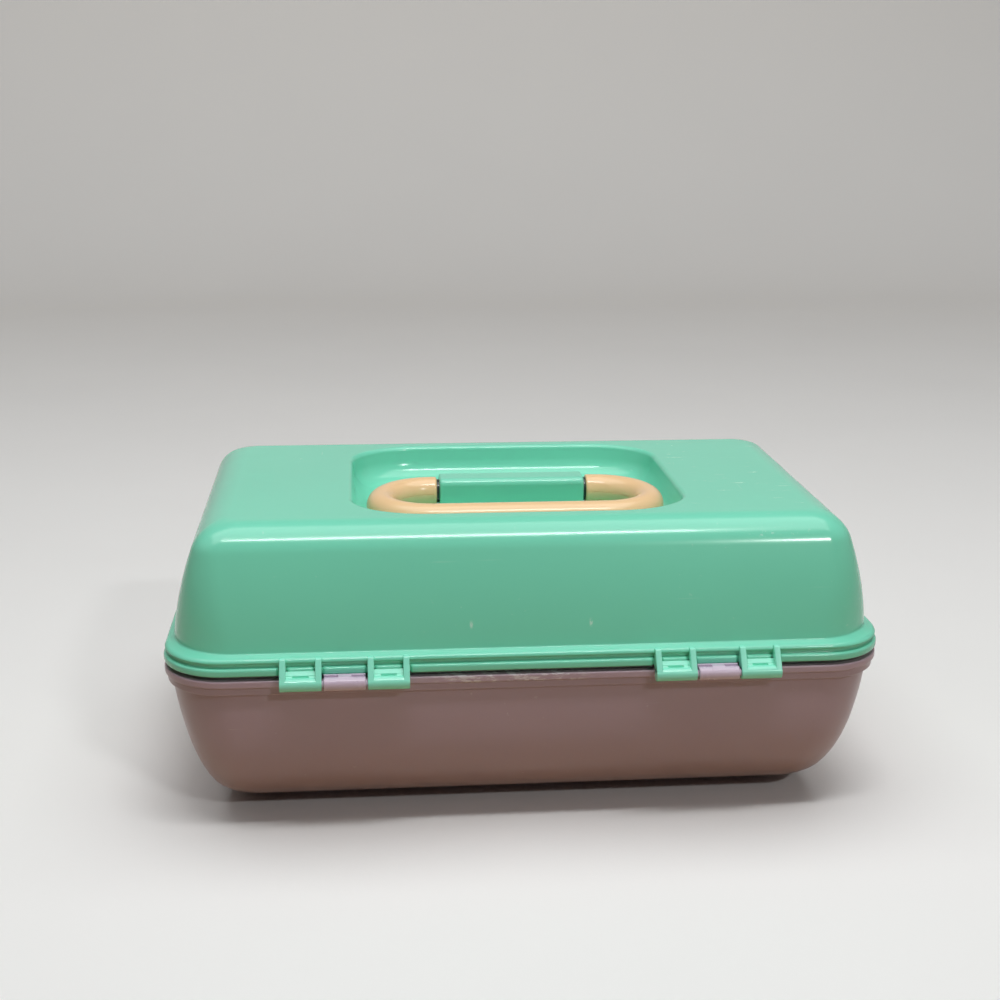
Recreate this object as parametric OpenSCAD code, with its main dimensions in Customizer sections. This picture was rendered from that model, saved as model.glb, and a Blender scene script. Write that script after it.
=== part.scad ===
// Clamshell cosmetics case: a tub and a domed lid on two rear hinges, a folding handle in a
// recess of the lid, a front latch, and a tray on a parallelogram that swings up with the lid.
// X runs along the length, the hinges are at +Y, the latch at -Y, and Z = 0 is the table.

/* [Case] */
// Length of the case over the lid flange
case_length = 330; // [290:1:380]
// Depth of the case over the lid flange
case_depth = 208.6; // [196:0.2:236]
// Plan radius of the flange corners
corner_r = 33.6; // [30:0.2:40]
// Thickness of the moulded walls
wall_t = 2.4; // [2:0.1:3]

/* [Tub] */
// Height of the moulded feet
foot_h = 1.2; // [0.8:0.1:2.5]
// Radius of a foot
foot_r = 9; // [6:0.5:12]
// Distance between the feet along the length
foot_pitch_x = 176; // [140:1:190]
// Distance between the feet along the depth
foot_pitch_y = 70; // [50:1:80]
// Height of the tub from its underside to the rim
tub_h = 77.2; // [66:0.2:90]
// Height of the rim lip
lip_h = 3.5; // [2.5:0.1:5]
// Height of the stepped band under the lip
band_h = 3.8; // [2.5:0.1:5]
// Step from the lip's face back to the band's face
band_step = 1.2; // [0.6:0.1:1.6]
// Step from the lip's face back to the tub wall
tub_step = 3.2; // [2.4:0.1:3.4]
// Lean of the end walls at the rim
tub_end_lean_top = 11; // [6:0.5:13]
// Lean of the end walls at the bottom round
tub_end_lean_low = 16; // [13:0.5:20]
// Radius of the bottom round at the ends
tub_end_round = 48; // [36:1:56]
// Lean of the long walls at the rim
tub_side_lean_top = 2.5; // [1:0.5:6]
// Lean of the long walls at the bottom round
tub_side_lean_low = 11; // [7:0.5:15]
// Radius of the bottom round at the long walls
tub_side_round = 45; // [34:1:54]
// Plan radius of the tub's corners at the flat bottom
tub_floor_corner_r = 30; // [20:1:36]

/* [Seam] */
// Open height between the tub's lip and the lid's flange
seam_gap = 2; // [1.2:0.1:3]
// Height of the locating tongue above the lip
tongue_h = 4.6; // [3.6:0.1:6]
// Thickness of the tongue
tongue_t = 1.6; // [1.2:0.1:2]
// Clearance between the tongue and the lid's skirt
tongue_clear = 0.4; // [0.3:0.05:0.6]
// Clearance between the tongue's top and the lid's seat
seat_clear = 0.3; // [0.2:0.05:0.5]

/* [Lid] */
// Height of the lid from its flange's lower edge to the top
lid_h = 61.8; // [54:0.2:74]
// Height of the lower bead
low_bead_h = 4.4; // [3.4:0.1:5]
// Height of the groove between the beads
groove_h = 2.2; // [1.4:0.1:3]
// Height of the upper bead
high_bead_h = 2.9; // [2.2:0.1:4]
// Height of the cove above the beads
cove_h = 1.7; // [1:0.1:3]
// How far the beads stand out of the groove
bead_out = 1.2; // [0.6:0.1:1.5]
// Step from the flange's face back to the lid wall
lid_step = 5.4; // [4.4:0.1:6.4]
// Lean of the end walls at the flange
lid_end_lean_low = 4.2; // [2:0.2:8]
// Lean of the end walls at the top round
lid_end_lean_top = 21.6; // [14:0.2:26]
// Radius of the top round at the ends
lid_end_round = 19; // [14:0.5:22]
// Lean of the long walls at the flange
lid_side_lean_low = 11.3; // [7:0.1:12]
// Lean of the long walls at the top round
lid_side_lean_top = 22.9; // [16:0.1:24]
// Radius of the top round at the long walls
lid_side_round = 18; // [14:0.5:19]
// Plan radius of the lid's corners at the flat top
lid_top_corner_r = 15; // [10:0.5:24]

/* [Handle recess] */
// Length of the recess at its rim
recess_length = 162; // [150:1:190]
// Flat land of the lid's top beside the long sides of the recess
recess_land = 3.8; // [3:0.1:8]
// Depth of the recess below the lid's top
recess_depth = 15.5; // [15:0.1:20]
// Corner of the recess in plan, along the length
recess_corner_x = 38; // [30:1:44]
// Corner of the recess in plan, along the depth
recess_corner_y = 30; // [22:1:34]
// Rounding of the recess rim
recess_rim_r = 2.5; // [1:0.1:3]
// Lean of the recess wall
recess_lean = 12; // [6:0.5:18]
// Fillet between the recess wall and its floor
recess_fillet = 11; // [8:0.5:12]

/* [Handle] */
// Diameter of the handle's tube
tube_d = 14; // [11:0.5:15]
// Space between each end of the handle and the recess rim
handle_end_space = 9; // [8:0.5:13]
// Space between the grip and the recess rim behind it
handle_side_space = 10.2; // [9:0.2:14]
// Space between the tube and the recess floor
handle_floor_space = 1.3; // [0.6:0.1:2]
// Length of the bridge between the handle's ends
bridge_length = 73; // [60:1:76]
// Radius of the bridge's rounded back
bridge_r = 7.4; // [6:0.1:8]
// Gap between the bridge and each handle end
bridge_gap = 1.5; // [0.5:0.1:2]
// Diameter of the handle's pivot rod
rod_d = 4; // [3:0.1:5]
// Depth of the rod's seat in each handle end
rod_seat = 10; // [7:0.5:12]
// Distance between the bridge screws
screw_pitch = 44; // [30:1:54]
// Diameter of the bridge screws
screw_d = 3; // [2.5:0.1:3.5]
// Diameter of the screw heads
screw_head_d = 6.4; // [5:0.1:7]
// Height of the screw heads
screw_head_h = 1.8; // [1.2:0.1:2]

/* [Hinges] */
// Distance from the case's middle to each hinge's middle
hinge_x = 83; // [70:1:95]
// How far the hinge line stands out of the flange
hinge_out = 4; // [3.8:0.1:5]
// Diameter of the hinge barrels
barrel_d = 6; // [5:0.1:6.4]
// Height of the barrels' top above the flange's lower edge
barrel_rise = 0.6; // [0.2:0.1:1]
// Width of a lid lug
lug_w = 18.4; // [14:0.2:22]
// Width of the tub's knuckle
knuckle_w = 18.2; // [14:0.2:22]
// Gap between the knuckle and each lug
knuckle_gap = 0.9; // [0.4:0.1:1.5]
// Width of the side rails of a lug
rail_w = 2.8; // [2:0.1:4]
// Height of the lug's root above the flange's lower edge
lug_rise = 8.2; // [6.5:0.1:9]
// Diameter of the knuckle's pegs
peg_d = 3.2; // [2.4:0.1:3.6]
// Length of a peg inside its lug
peg_l = 4; // [3:0.5:6]
// Height of the lug's shelf above the flange's lower edge
shelf_rise = 2; // [1.2:0.1:3]
// Width of the slot in a lug's shelf
slot_w = 7; // [4:0.2:9]
// Depth of that slot from front to back
slot_t = 0.7; // [0.5:0.1:1]
// Thickness of the strip at the back of the knuckle
strip_t = 0.7; // [0.5:0.1:1]
// Gap between the strip and the barrel's back
strip_gap = 0.4; // [0.3:0.1:0.6]
// Height of the strip and its tab above the hinge line
tab_h = 3.3; // [3.1:0.1:3.4]
// Width of the tab that joins the strip to the barrel
tab_w = 5.8; // [4:0.2:8]

/* [Latch] */
// Width of the latch
latch_w = 58; // [44:1:70]
// Thickness of the latch plate
latch_t = 2.4; // [1.8:0.1:2.8]
// Height of the latch's pivot above the lid flange's lower edge
latch_rise = 7.6; // [6.5:0.1:9]
// Distance from the latch's pivot to the catch's lower edge
catch_drop = 20.3; // [18.6:0.1:22]
// Clearance between the hook and the catch
hook_clear = 0.5; // [0.3:0.1:0.8]
// Height of the hook
hook_h = 3.2; // [2.4:0.1:4]
// Length of the finger pull below the hook
pull_h = 5; // [3:0.5:8]
// Depth of the catch ledge from the flange's face
catch_out = 2.9; // [2:0.1:3.2]
// Height of the catch ledge
catch_h = 3; // [2:0.1:3.4]
// Thickness of the lid's latch ears
ear_t = 4; // [3:0.1:6]
// Gap between the latch and each ear
ear_gap = 0.5; // [0.3:0.1:1]
// Diameter of the latch pin
latch_pin_d = 3; // [2:0.1:3.5]

/* [Tray] */
// Space between the tray's end and the flange's face
tray_end_space = 20; // [19:0.5:24]
// Space between the tray's front and the flange's face
tray_front_space = 11.3; // [10:0.1:16]
// Depth of the tray in plan
tray_width = 129; // [110:1:132]
// Height of the tray's underside above the table
tray_z = 57; // [56:0.5:60]
// Height of the tray
tray_h = 22; // [16:0.5:24]
// Plan radius of the tray's corners
tray_corner_r = 18; // [12:1:22]
// Thickness of the tray's walls and floor
tray_t = 2; // [1.6:0.1:2.4]
// Depth of the front row of bays
front_row_w = 58; // [44:1:76]
// Thickness of the row wall and the dividers
divider_t = 1.8; // [1.4:0.1:2.2]
// Height of the row wall and the dividers above the tray floor
divider_h = 17; // [12:0.5:18]
// Distance between the dividers
divider_pitch = 96; // [60:1:140]
// Depth of the grooves that hold the row wall and the dividers
groove_d = 1; // [0.6:0.1:1.2]
// Clearance around the row wall and the dividers
divider_clear = 0.2; // [0.1:0.05:0.3]

/* [Tray linkage] */
// Length of the tray arms between pivots
arm_length = 46; // [45:0.5:47]
// Angle of the arms above the horizontal when the lid is shut
arm_angle = 15; // [13:0.5:17]
// Thickness of the arms
arm_t = 3; // [2:0.1:3.6]
// Radius of the arm ends
arm_end_r = 6; // [5:0.1:7]
// Width of the arm's shank
arm_w = 8; // [6:0.1:10]
// Distance of the arms' upper pivot in front of the row wall
pin_row_space = 7; // [6:0.1:12]
// Space between a pin head and the tray floor
pin_floor_space = 0.4; // [0.2:0.1:1.5]
// Side gap between the tray and the arms
arm_gap = 0.6; // [0.4:0.1:1]
// Side gap between the arms or ears and the bosses
boss_gap = 0.4; // [0.3:0.05:0.6]
// Radius of the moulded pivot bosses
boss_r = 4; // [3.4:0.1:4.4]
// Diameter of the tray pins
tray_pin_d = 3.8; // [3:0.1:4.2]
// Diameter of the pin heads
pin_head_d = 7; // [6:0.1:7.6]
// Thickness of the pin heads
pin_head_t = 1.2; // [0.8:0.1:1.4]
// Clearance under a pin head
head_clear = 0.3; // [0.2:0.05:0.4]

/* [Mirror] */
// Length of the mirror
mirror_length = 142; // [110:1:156]
// Width of the mirror
mirror_width = 102; // [80:1:116]
// Thickness of the mirror
mirror_t = 2; // [1.5:0.1:2.5]
// Width of the frame around the mirror
frame_w = 7; // [5:0.5:10]
// Thickness of the frame
frame_t = 4.4; // [4.2:0.1:6]
// Clearance around the mirror in its frame
mirror_clear = 0.3; // [0.2:0.05:0.5]

/* [Fits] */
// Radial clearance of a pin that turns in its hole
run_clear = 0.06; // [0.03:0.01:0.09]
// Radial clearance of a pin that is held in its hole
hold_clear = 0.02; // [0.01:0.01:0.04]
// Radial clearance at the arms' upper pivots
arm_clear = 0.1; // [0.06:0.01:0.15]

/* [Smoothness] */
// Points along each rounded plan corner
corner_steps = 10; // [6:1:12]
// Rings along each leaning wall
wall_steps = 5; // [3:1:6]
// Rings along each large round
round_steps = 8; // [5:1:10]

/* [Hidden] */
$fn = 48;
mint = [0.46, 0.80, 0.68];
lavender = [0.78, 0.70, 0.84];
peach = [0.98, 0.80, 0.62];
cream = [0.93, 0.91, 0.88];
steel = [0.72, 0.73, 0.75];
eps = 0.01;
edge_steps = 3;
edge_r = 0.8;
half_x = case_length/2;
half_y = case_depth/2;

// Heights above the table
rim_z = foot_h + tub_h;
tub_root_z = rim_z - lip_h - band_h;
floor_z = foot_h + wall_t;
tongue_z = rim_z + tongue_h;
flange_z = rim_z + seam_gap;
seat_z = tongue_z + seat_clear;
groove_z = flange_z + low_bead_h;
high_bead_z = groove_z + groove_h;
cove_z = high_bead_z + high_bead_h;
lid_root_z = cove_z + cove_h;
top_z = flange_z + lid_h;
recess_z = top_z - recess_depth;
ceiling_z = recess_z - wall_t;
pivot_z = recess_z + handle_floor_space + tube_d/2;

// Insets from the flange's face, in plan
lip_inset = 0.2;
tongue_inset = tub_step + lip_inset + wall_t - tongue_t;
skirt_inset = tongue_inset - tongue_clear;
seat_inset = tongue_inset + tongue_t + 2*seat_clear;
tub_inset = lip_inset + tub_step;

// Recess and handle, from the flat part of the lid's top, the reach to a tenth
lid_wall_h = top_z - lid_root_z;
recess_width = 2*(half_y - lid_step - recess_land
    - wall_inset(lid_wall_h, lid_wall_h, lid_side_lean_low, lid_side_lean_top, lid_side_round));
handle_length = recess_length - 2*handle_end_space - tube_d;
handle_reach = round(10*(recess_width/2 - handle_side_space - tube_d/2))/10;

// Hinge, latch and linkage places
barrel_r = barrel_d/2;
hinge_y = half_y + hinge_out;
hinge_z = flange_z + barrel_rise - barrel_r;
latch_out = half_y + hinge_out;
latch_z = flange_z + latch_rise;
screw_reach = pivot_z - rod_d - recess_z;
tray_half_x = half_x - tray_end_space;
tray_front = -(half_y - tray_front_space);
tray_back = tray_front + tray_width;
tray_mid_y = (tray_front + tray_back)/2;
tray_top = tray_z + tray_h;
arm_y = -arm_length*cos(arm_angle);
arm_z = arm_length*sin(arm_angle);
row_y = tray_front + tray_t + front_row_w;
arm_pivot_y = row_y - pin_row_space - arm_y;
arm_pivot_z = tray_z + tray_t + pin_head_d/2 + pin_floor_space - arm_z;
arm_in = tray_half_x + arm_gap;
arm_out = arm_in + arm_t;
groove_x = tray_half_x - tray_t + groove_d;
groove_y = tray_front + tray_t - groove_d;
mirror_corner_r = 4;

// The same piece at both ends of the case
module both_ends() {
    children();
    mirror([1, 0, 0]) children();
}

// Turns a drawing in the Y-Z plane into a bar along X, from x0 to x1
module along_x(x0, x1) {
    translate([x0, 0, 0]) rotate([90, 0, 90]) linear_extrude(x1 - x0) children();
}

// Round bar along X
module rod_x(x0, x1, y, z, r) {
    translate([x0, y, z]) rotate([0, 90, 0]) cylinder(r = r, h = x1 - x0);
}

// Rectangle with round corners, centred
module round_rect(w, d, r) {
    square([w - 2*r, d], center = true);
    square([w, d - 2*r], center = true);
    for (x = [-1, 1], y = [-1, 1]) translate([x*(w/2 - r), y*(d/2 - r)]) circle(r);
}

// Plan ring with corners rx by ry
function ring(hx, hy, rx, ry, z) = [for (q = [0:3], i = [0:corner_steps])
    let (a = 90*(q + i/corner_steps), sx = q == 0 || q == 3 ? 1 : -1, sy = q < 2 ? 1 : -1)
    [sx*(hx - rx) + rx*cos(a), sy*(hy - ry) + ry*sin(a), z]];

// Plan ring of the case, inset from the flange's face, with concentric corners
function flange_ring(p) = ring(half_x - p[0], half_y - p[0], corner_r - p[0], corner_r - p[0], p[1]);

// Quarter turns of a section, as [inset, height]: first sideways then up, and first up then sideways
function turn_up(p, q) = [for (i = [0:edge_steps]) let (a = 90*i/edge_steps)
    [p[0] + (q[0] - p[0])*sin(a), p[1] + (q[1] - p[1])*(1 - cos(a))]];
function turn_in(p, q) = [for (i = [0:edge_steps]) let (a = 90*i/edge_steps)
    [p[0] + (q[0] - p[0])*(1 - cos(a)), p[1] + (q[1] - p[1])*sin(a)]];

// Inset of a moulded wall at height h from its root: it leans in more and more, then rounds into
// the flat face at the full height
function lean_inset(h, wall_h, lean_0, lean_1) =
    h*tan(lean_0) + (tan(lean_1) - tan(lean_0))*h*h/(2*wall_h);
function wall_inset(h, full_h, lean_0, lean_1, round_r) =
    let (wall_h = full_h - round_r*(1 - sin(lean_1)), rise = 1 - (full_h - h)/round_r)
    h <= wall_h ? lean_inset(h, wall_h, lean_0, lean_1) :
    lean_inset(wall_h, wall_h, lean_0, lean_1) + round_r*(cos(lean_1) - sqrt(max(0, 1 - rise*rise)));

// Heights of the rings along such a wall
function wall_levels(full_h, lean_1, round_r) =
    let (wall_h = full_h - round_r*(1 - sin(lean_1)))
    concat([for (i = [0:wall_steps - 1]) wall_h*i/wall_steps],
        [for (i = [0:round_steps]) let (a = lean_1 + (90 - lean_1)*i/round_steps)
            full_h - round_r*(1 - sin(a))]);

// One ring of the tub's wall, t inside its outer face, h below the root
function tub_ring(h, t) =
    let (full_h = tub_root_z - foot_h - t,
        ix = wall_inset(h, full_h, tub_end_lean_top, tub_end_lean_low, tub_end_round - t),
        iy = wall_inset(h, full_h, tub_side_lean_top, tub_side_lean_low, tub_side_round - t),
        r = corner_r - tub_inset - t + (tub_floor_corner_r - corner_r + tub_inset)*h/full_h)
    ring(half_x - tub_inset - t - ix, half_y - tub_inset - t - iy, r, r, tub_root_z - h);
function tub_wall(t) = [for (h = wall_levels(tub_root_z - foot_h - t, tub_end_lean_low,
    tub_end_round - t)) tub_ring(h, t)];

// Inner face of the tub's end wall at a height
function tub_inner_x(z) = half_x - tub_inset - wall_t - wall_inset(tub_root_z - z,
    tub_root_z - foot_h - wall_t, tub_end_lean_top, tub_end_lean_low, tub_end_round - wall_t);

// One ring of the lid's wall, t inside its outer face, h above the root
function lid_ring(h, t) =
    let (full_h = top_z - lid_root_z - t,
        ix = wall_inset(h, full_h, lid_end_lean_low, lid_end_lean_top, lid_end_round - t),
        iy = wall_inset(h, full_h, lid_side_lean_low, lid_side_lean_top, lid_side_round - t),
        r = corner_r - lid_step - t + (lid_top_corner_r - corner_r + lid_step)*h/full_h)
    ring(half_x - lid_step - t - ix, half_y - lid_step - t - iy, r, r, lid_root_z + h);
function lid_wall(t) = [for (h = wall_levels(top_z - lid_root_z - t, lid_end_lean_top,
    lid_end_round - t)) lid_ring(h, t)];

// Recess of the lid, as [inset, depth] from its rim: round edge, leaning wall, fillet
recess_wall_d = recess_depth - recess_fillet*(1 - sin(recess_lean));
recess_wall_i = recess_rim_r*cos(recess_lean)
    + (recess_wall_d - recess_rim_r*(1 - sin(recess_lean)))*tan(recess_lean);
function recess_ring(p) = ring(recess_length/2 - p[0], recess_width/2 - p[0],
    recess_corner_x - p[0], recess_corner_y - p[0], top_z - p[1]);
function recess_round() = [for (i = [0:edge_steps + 1]) let (a = (90 - recess_lean)*i/(edge_steps + 1))
    [recess_rim_r*sin(a), recess_rim_r*(1 - cos(a))]];
function recess_bend(t) = [for (i = [0:round_steps])
    let (a = recess_lean + (90 - recess_lean)*i/round_steps)
    [recess_wall_i + recess_fillet*cos(recess_lean) - (recess_fillet + t)*cos(a),
        recess_wall_d - recess_fillet*sin(recess_lean) + (recess_fillet + t)*sin(a)]];
recess_under = [recess_wall_i - wall_t/cos(recess_lean) - (recess_wall_d - wall_t)*tan(recess_lean),
    wall_t];

function reversed(list) = [for (i = [len(list) - 1:-1:0]) list[i]];

// Solid through a row of rings, closed by flat faces at the first and the last
module loft(rings) {
    n = len(rings[0]);
    last = (len(rings) - 1)*n;
    sides = [for (k = [0:len(rings) - 2], i = [0:n - 1])
        let (a = k*n + i, b = k*n + (i + 1)%n)
        each [[a, b + n, b], [a, a + n, b + n]]];
    polyhedron([for (r = rings, p = r) p],
        concat([[for (i = [0:n - 1]) i]], sides, [[for (i = [n - 1:-1:0]) last + i]]), convexity = 12);
}

// Tub: outer wall, band, lip, tongue and inner wall in one skin
module tub_skin() {
    rim = concat(
        turn_up([tub_inset, tub_root_z], [lip_inset + band_step, tub_root_z + edge_r]),
        turn_up([lip_inset + band_step, tub_root_z + band_h], [lip_inset, tub_root_z + band_h + edge_r]),
        turn_in([lip_inset, rim_z - edge_r], [lip_inset + edge_r, rim_z]),
        [[tongue_inset, rim_z]],
        [[tongue_inset, tongue_z - edge_r/2]],
        [[tongue_inset + edge_r/2, tongue_z]],
        [[tongue_inset + tongue_t, tongue_z]]);
    loft(concat(reversed(tub_wall(0)), [for (p = rim) flange_ring(p)], tub_wall(wall_t)));
}

// Knuckle of the tub: barrel on a web from the lip, a strip behind it that a tab joins to the
// barrel, and a peg at each side
module knuckle() {
    peg_end = knuckle_w/2 + knuckle_gap + peg_l;
    rod_x(-knuckle_w/2, knuckle_w/2, hinge_y, hinge_z, barrel_r);
    rod_x(-peg_end, peg_end, hinge_y, hinge_z, peg_d/2);
    along_x(-knuckle_w/2, knuckle_w/2) polygon([
        [half_y - tongue_inset/2, rim_z - lip_h], [hinge_y, hinge_z - barrel_r],
        [hinge_y, rim_z - edge_r], [half_y - tongue_inset/2, rim_z - edge_r]]);
    strip_y = hinge_y - barrel_r - strip_gap;
    along_x(-knuckle_w/2, knuckle_w/2) translate([strip_y, rim_z - lip_h])
        square([strip_t, hinge_z + tab_h - rim_z + lip_h]);
    along_x(-tab_w/2, tab_w/2) polygon([[strip_y, hinge_z], [strip_y, hinge_z + tab_h],
        [hinge_y, hinge_z + tab_h], [hinge_y + barrel_r*sin(40), hinge_z + barrel_r*cos(40)],
        [hinge_y, hinge_z]]);
}

// Catch ledge on the tub's front, under the band
module catch_ledge() {
    low = latch_z - catch_drop;
    mirror([0, 1, 0]) along_x(-latch_w/2 + ear_t, latch_w/2 - ear_t) polygon([
        [half_y - tongue_inset, low + catch_h/2], [half_y + catch_out, low],
        [half_y + catch_out, low + catch_h - edge_r], [half_y + catch_out - edge_r, low + catch_h],
        [half_y - tongue_inset, low + 2*catch_h]]);
}

// Boss on the tub's end wall that carries an arm
module arm_boss() {
    rod_x(arm_out + boss_gap, tub_inner_x(arm_pivot_z) + wall_t/2, arm_pivot_y, arm_pivot_z, boss_r);
}

module base_shell() color(lavender) difference() {
    union() {
        tub_skin();
        both_ends() translate([hinge_x, 0, 0]) knuckle();
        both_ends() arm_boss();
        catch_ledge();
        for (x = [-1, 1], y = [-1, 1]) translate([x*foot_pitch_x/2, y*foot_pitch_y/2, 0])
            cylinder(r = foot_r, h = foot_h + wall_t/2);
    }
    both_ends() rod_x(arm_out, tub_inner_x(arm_pivot_z) - wall_t/2, arm_pivot_y, arm_pivot_z,
        tray_pin_d/2 + hold_clear);
}

// Lid: inner recess wall, inner wall, skirt, beads, outer wall, top and recess in one skin
module lid_skin() {
    flange = concat(
        [[lid_step + wall_t, lid_root_z - cove_h]],
        [[seat_inset, seat_z], [skirt_inset, seat_z], [skirt_inset, flange_z]],
        turn_up([bead_out, flange_z], [0, flange_z + edge_r]),
        turn_in([0, groove_z - edge_r], [bead_out, groove_z]),
        turn_up([bead_out, high_bead_z], [bead_out - edge_r, high_bead_z + edge_r]),
        turn_in([bead_out - edge_r, cove_z - edge_r], [bead_out + edge_r/2, cove_z]),
        turn_up([bead_out + edge_r, cove_z], [lid_step, lid_root_z - eps]));
    loft(concat(
        [for (p = reversed(recess_bend(wall_t))) recess_ring(p)],
        [recess_ring(recess_under)],
        reversed(lid_wall(wall_t)),
        [for (p = flange) flange_ring(p)],
        lid_wall(0),
        [for (p = recess_round()) recess_ring(p)],
        [for (p = recess_bend(0)) recess_ring(p)]));
}

// Lug of the lid: two side rails from the flange down to a barrel, and a slotted shelf at the foot
// of the window between them
module lug(side) {
    root_y = half_y - skirt_inset/2;
    shelf_y = hinge_y - barrel_r*sin(25);
    shelf_z = hinge_z + barrel_r*cos(25);
    difference() {
        union() {
            rod_x(-lug_w/2, lug_w/2, hinge_y, hinge_z, barrel_r);
            for (x = [-1, 1]) translate([x*(lug_w - rail_w)/2, 0, 0])
                along_x(-rail_w/2, rail_w/2) polygon([
                    [root_y, flange_z + lug_rise], [half_y + edge_r, flange_z + lug_rise],
                    [hinge_y + barrel_r*cos(30), hinge_z + barrel_r*sin(30)], [hinge_y, hinge_z],
                    [hinge_y - barrel_r*cos(20), hinge_z + barrel_r*sin(20)],
                    [root_y, flange_z + edge_r]]);
            along_x(-lug_w/2 + eps, lug_w/2 - eps) polygon([
                [root_y, flange_z + shelf_rise], [half_y, flange_z + shelf_rise], [shelf_y, shelf_z],
                [hinge_y, hinge_z], [hinge_y - barrel_r*cos(20), hinge_z + barrel_r*sin(20)],
                [root_y, flange_z + edge_r]]);
        }
        // Slot just behind the barrel
        translate([-slot_w/2, shelf_y - slot_t, shelf_z - edge_r])
            cube([slot_w, slot_t, shelf_rise + edge_r]);
        // Blind bore that faces the knuckle
        translate([-side*(lug_w/2 - peg_l - knuckle_gap), 0, 0])
            rod_x(side > 0 ? -lug_w : 0, side > 0 ? 0 : lug_w, hinge_y, hinge_z, peg_d/2 + run_clear);
    }
}

// Ear of the lid beside the latch
module latch_ear() {
    root_y = half_y - skirt_inset/2;
    rod_x(0, ear_t, latch_out, latch_z, barrel_r);
    along_x(0, ear_t) polygon([
        [root_y, flange_z + edge_r], [latch_out - barrel_r*cos(30), latch_z - barrel_r*sin(30)],
        [latch_out, latch_z], [latch_out, latch_z + barrel_r], [root_y, latch_z + barrel_r]]);
}

// Boss on the lid's end wall that carries the tray's ear
module tray_boss() {
    rod_x(tray_half_x + boss_gap, half_x - lid_step - wall_t/2, hinge_y + arm_y, hinge_z + arm_z,
        boss_r);
}

module lid_shell() color(mint) difference() {
    union() {
        lid_skin();
        both_ends() for (side = [-1, 1])
            translate([hinge_x + side*(knuckle_w/2 + knuckle_gap + lug_w/2), 0, 0]) lug(side);
        both_ends() mirror([0, 1, 0]) translate([latch_w/2 + ear_gap, 0, 0]) latch_ear();
        both_ends() tray_boss();
    }
    rod_x(-case_length/2, case_length/2, -latch_out, latch_z, latch_pin_d/2 + hold_clear);
    both_ends() rod_x(tray_half_x, half_x - lid_step - wall_t, hinge_y + arm_y, hinge_z + arm_z,
        tray_pin_d/2 + hold_clear);
    for (x = [-1, 1]) translate([x*screw_pitch/2, 0, ceiling_z - eps])
        cylinder(d = screw_d + 2*run_clear, h = wall_t + 2*eps);
}

// Handle: stadium loop of round tube, cut open over the bridge
module handle_grip() color(peach) {
    loop_r = handle_reach/2;
    straight = handle_length/2 - loop_r;
    tube_end = bridge_length/2 + bridge_gap;
    translate([0, 0, pivot_z]) difference() {
        union() {
            for (y = [0, handle_reach]) rod_x(-straight, straight, y, 0, tube_d/2);
            both_ends() translate([straight, loop_r, 0]) rotate([0, 0, -90])
                rotate_extrude(angle = 180) translate([loop_r, 0]) circle(d = tube_d);
        }
        along_x(-tube_end, tube_end) translate([-tube_d, -tube_d]) square([tube_d + loop_r, 2*tube_d]);
        both_ends() rod_x(tube_end - eps, tube_end + rod_seat, 0, 0, rod_d/2 + run_clear);
    }
}

// Bridge: half-round bar that stands on the recess floor and holds the rod
module handle_bridge() color(mint) difference() {
    along_x(-bridge_length/2, bridge_length/2) {
        translate([0, pivot_z]) circle(bridge_r);
        translate([-bridge_r, recess_z]) square([2*bridge_r, pivot_z - recess_z]);
    }
    rod_x(-bridge_length, bridge_length, 0, pivot_z, rod_d/2 + hold_clear);
    for (x = [-1, 1]) translate([x*screw_pitch/2, 0, recess_z - eps])
        cylinder(d = screw_d + 2*hold_clear, h = screw_reach + eps);
}

module handle_rod() color(steel) {
    rod_end = bridge_length/2 + bridge_gap + rod_seat - boss_gap;
    rod_x(-rod_end, rod_end, 0, pivot_z, rod_d/2);
}

module bridge_screws() color(steel) for (x = [-1, 1]) translate([x*screw_pitch/2, 0, 0]) {
    translate([0, 0, ceiling_z - screw_head_h]) cylinder(d = screw_head_d, h = screw_head_h);
    translate([0, 0, ceiling_z - eps]) cylinder(d = screw_d, h = wall_t + screw_reach - edge_r);
}

// Latch: barrel, plate and hook, cut to a front outline with round lower corners
module latch() color(peach) mirror([0, 1, 0]) {
    out = latch_out + barrel_r;
    hook_z = latch_z - catch_drop - hook_clear;
    low_z = hook_z - hook_h - pull_h;
    difference() {
        intersection() {
            union() {
                rod_x(-latch_w/2, latch_w/2, latch_out, latch_z, barrel_r);
                along_x(-latch_w/2, latch_w/2) {
                    translate([out - latch_t, low_z]) square([latch_t, latch_z - low_z]);
                    polygon([[half_y - edge_r, hook_z], [out - latch_t/2, hook_z],
                        [out - latch_t/2, hook_z - hook_h], [half_y + edge_r, hook_z - hook_h]]);
                }
            }
            translate([0, out + eps, (latch_z + barrel_r + low_z)/2]) rotate([90, 0, 0])
                linear_extrude(barrel_d + catch_drop)
                    round_rect(latch_w, latch_z + barrel_r - low_z + eps, barrel_r);
        }
        rod_x(-latch_w, latch_w, latch_out, latch_z, latch_pin_d/2 + run_clear);
        translate([0, out + eps, (latch_z + low_z)/2]) rotate([90, 0, 0])
            linear_extrude(edge_r) round_rect(latch_w - 4*barrel_r, catch_drop/2, barrel_r);
    }
}

module latch_pin() color(steel) {
    pin_end = latch_w/2 + ear_gap + ear_t;
    rod_x(-pin_end, pin_end, -latch_out, latch_z, latch_pin_d/2);
}

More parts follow.
